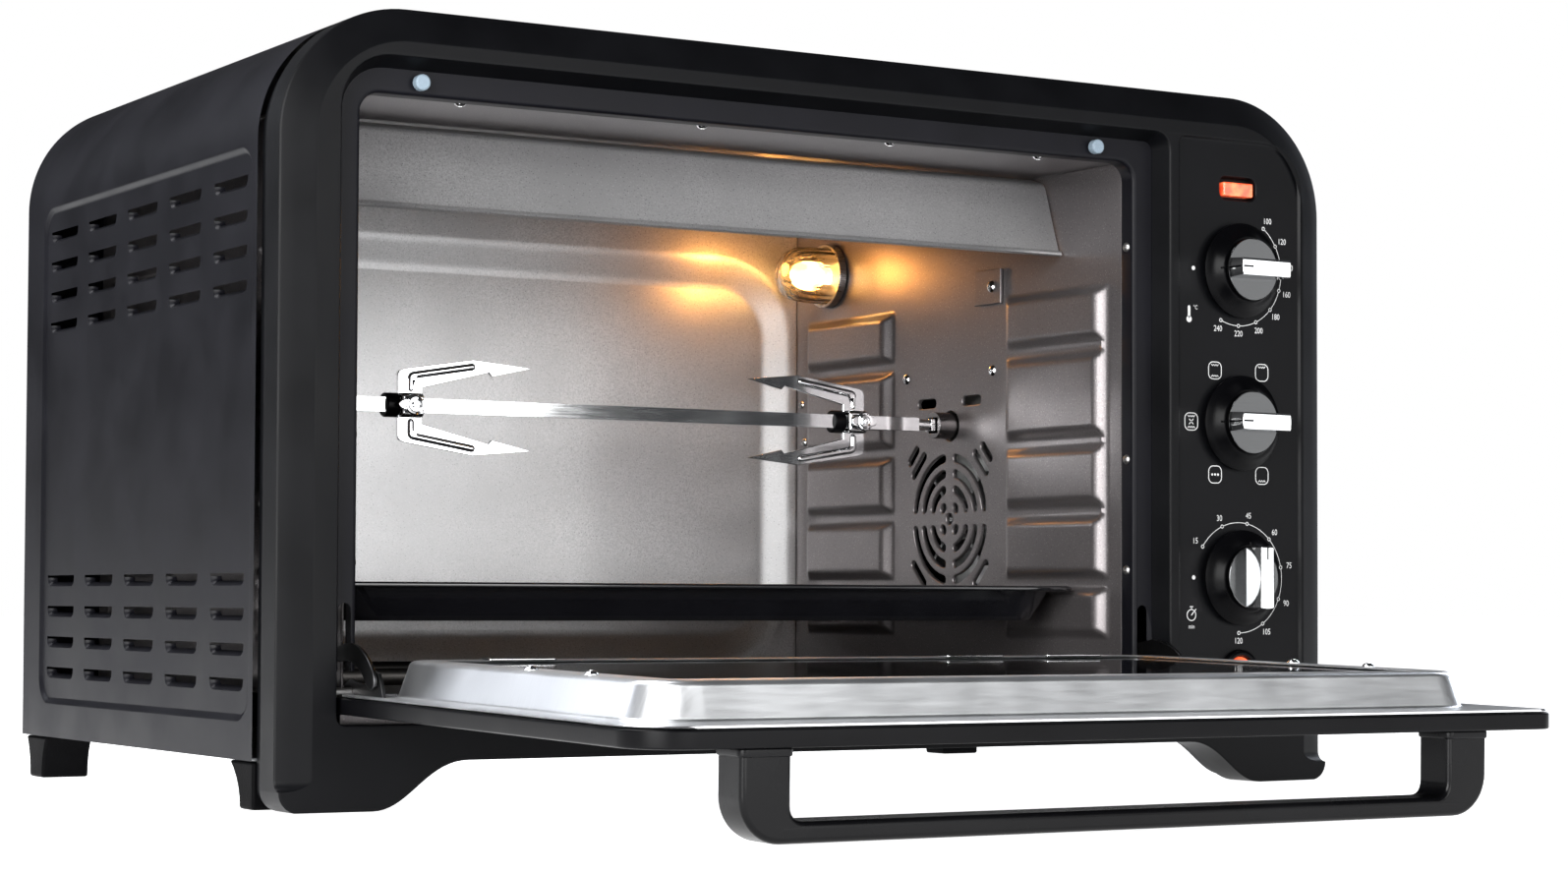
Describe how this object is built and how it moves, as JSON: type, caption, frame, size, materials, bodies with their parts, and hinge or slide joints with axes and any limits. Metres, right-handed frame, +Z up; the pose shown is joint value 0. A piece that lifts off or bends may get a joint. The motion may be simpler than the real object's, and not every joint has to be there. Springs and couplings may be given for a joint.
{
  "type": "rotisserie oven",
  "caption": "Black countertop rotisserie oven with a drop-down door, a spit with forks, a baking tray and turning dials.",
  "frame": {"origin": "centre of the footprint of the oven with its door open, on the surface it stands on", "axes": "+X to the right seen from the front, +Y from the front to the rear, +Z up"},
  "size_m": [0.56, 0.6058, 0.339],
  "materials": {
    "casing_paint": "satin black paint on sheet steel",
    "bezel_plastic": "satin black moulding",
    "foot_plastic": "textured black moulding",
    "base_zinc": "zinc plated sheet",
    "liner_coating": "dark grey speckled satin coating",
    "back_liner": "silver grey satin coating",
    "bumper_rubber": "pale silicone",
    "plate_steel": "plain steel",
    "element_tube": "dark oxidised tube",
    "lamp_glass": "clear ribbed glass over a warm lamp",
    "lamp_glow": "warm glowing bulb",
    "motor_metal": "plated motor and switch casings",
    "fan_metal": "stamped aluminium wheel",
    "spit_chrome": "polished chrome plate",
    "tray_enamel": "gloss black enamel",
    "door_black": "satin black door frame",
    "door_glass": "dark tinted glass",
    "pan_aluminium": "satin pressed aluminium",
    "handle_plastic": "satin to gloss black moulding",
    "hinge_steel": "plated steel",
    "dial_plastic": "satin black dial",
    "grip_chrome": "polished chrome grip",
    "red_lens": "clear red lens"
  },
  "bodies": {
    "oven_body": {"front_bezel": "bezel_plastic", "front_frame": "casing_paint", "outer_shell": "casing_paint", "rear_cover": "casing_paint", "base_plate": "base_zinc", "cord_gland": "foot_plastic", "bumper_left": "bumper_rubber", "bumper_right": "bumper_rubber", "front_foot_left": "foot_plastic", "front_foot_right": "foot_plastic", "rear_foot_left": "foot_plastic", "rear_foot_right": "foot_plastic", "cavity_wall_right": "liner_coating", "cavity_wall_left": "liner_coating", "cavity_back": "back_liner", "cavity_floor": "liner_coating", "cavity_ceiling": "liner_coating", "upper_baffle": "liner_coating", "sensor_plate": "plate_steel", "element_upper_front": "element_tube", "element_upper_rear": "element_tube", "element_lower_front": "element_tube", "element_lower_rear": "element_tube", "lamp_holder": "plate_steel", "lamp_cover": "lamp_glass", "lamp_bulb": "lamp_glow", "fan_motor": "motor_metal", "spit_cradle": "plate_steel", "spit_motor": "motor_metal", "thermostat_body": "motor_metal", "function_body": "motor_metal", "timer_body": "motor_metal", "indicator_lens": "red_lens", "round_lens": "red_lens", "hinge_pin_left": "hinge_steel", "hinge_pin_right": "hinge_steel"},
    "door": {"door_panel": "door_black", "door_outer_glass": "door_glass", "door_pan": "pan_aluminium", "door_inner_glass": "door_glass", "door_handle": "handle_plastic", "hinge_bracket_left": "hinge_steel", "hinge_bracket_right": "hinge_steel"},
    "link_left": {"hinge_link_left": "hinge_steel"},
    "link_right": {"hinge_link_right": "hinge_steel"},
    "thermostat_dial": {"thermostat_knob": "dial_plastic", "thermostat_grip": "grip_chrome"},
    "function_dial": {"function_knob": "dial_plastic", "function_grip": "grip_chrome"},
    "timer_dial": {"timer_knob": "dial_plastic", "timer_grip": "grip_chrome"},
    "fan": {"fan_wheel": "fan_metal"},
    "spit_drive": {"drive_socket": "plate_steel"},
    "spit": {"spit_shaft": "spit_chrome"},
    "left_fork": {"fork_left": "spit_chrome"},
    "left_fork_clamp": {"fork_screw_left": "spit_chrome"},
    "right_fork": {"fork_right": "spit_chrome"},
    "right_fork_clamp": {"fork_screw_right": "spit_chrome"},
    "tray": {"baking_tray": "tray_enamel"}
  },
  "joints": [
    {"name": "door_hinge", "type": "hinge", "parent": "oven_body", "child": "door", "pos_m": [0, -0.03677, 0.04983], "axis": [-1, 0, 0], "range_deg": [0, 90.85]},
    {"name": "link_left_pivot", "type": "hinge", "parent": "door", "child": "link_left", "pos_m": [-0.2473, -0.06061, 0.05463], "axis": [1, 0, 0], "range_deg": [0, 71]},
    {"name": "link_right_pivot", "type": "hinge", "parent": "door", "child": "link_right", "pos_m": [0.1747, -0.06061, 0.05463], "axis": [1, 0, 0], "range_deg": [0, 71]},
    {"name": "thermostat_turn", "type": "hinge", "parent": "oven_body", "child": "thermostat_dial", "pos_m": [0.2254, -0.04212, 0.2524], "axis": [0, 1, 0], "range_deg": [0, 294]},
    {"name": "function_turn", "type": "hinge", "parent": "oven_body", "child": "function_dial", "pos_m": [0.2254, -0.04212, 0.1769], "axis": [0, 1, 0], "continuous": true},
    {"name": "timer_turn", "type": "hinge", "parent": "oven_body", "child": "timer_dial", "pos_m": [0.2254, -0.04212, 0.1006], "axis": [0, 1, 0], "range_deg": [-90, 180]},
    {"name": "fan_spin", "type": "hinge", "parent": "oven_body", "child": "fan", "pos_m": [0.18, 0.12878, 0.132], "axis": [1, 0, 0], "continuous": true},
    {"name": "spit_drive_spin", "type": "hinge", "parent": "oven_body", "child": "spit_drive", "pos_m": [0.17, 0.12788, 0.1813], "axis": [1, 0, 0], "continuous": true},
    {"name": "spit_spin", "type": "hinge", "parent": "oven_body", "child": "spit", "pos_m": [0, 0.12788, 0.1813], "axis": [1, 0, 0], "continuous": true},
    {"name": "left_fork_slide", "type": "slide", "parent": "spit", "child": "left_fork", "axis": [1, 0, 0], "range_m": [-0.03, 0.02]},
    {"name": "right_fork_slide", "type": "slide", "parent": "spit", "child": "right_fork", "axis": [-1, 0, 0], "range_m": [-0.03, 0.02]},
    {"name": "left_fork_clamp_turn", "type": "hinge", "parent": "left_fork", "child": "left_fork_clamp", "pos_m": [-0.147, 0.11988, 0.1813], "axis": [0, 1, 0], "range_deg": [-180, 0]},
    {"name": "right_fork_clamp_turn", "type": "hinge", "parent": "right_fork", "child": "right_fork_clamp", "pos_m": [0.108, 0.11988, 0.1813], "axis": [0, 1, 0], "range_deg": [-180, 0]},
    {"name": "tray_slide", "type": "slide", "parent": "oven_body", "child": "tray", "axis": [0, 1, 0], "range_m": [-0.2, 0]}
  ],
  "couplings": [
    {"joint": "link_left_pivot", "follows": "door_hinge", "ratio": 0.78},
    {"joint": "link_right_pivot", "follows": "door_hinge", "ratio": 0.78},
    {"joint": "spit_spin", "follows": "spit_drive_spin", "ratio": 1}
  ]
}
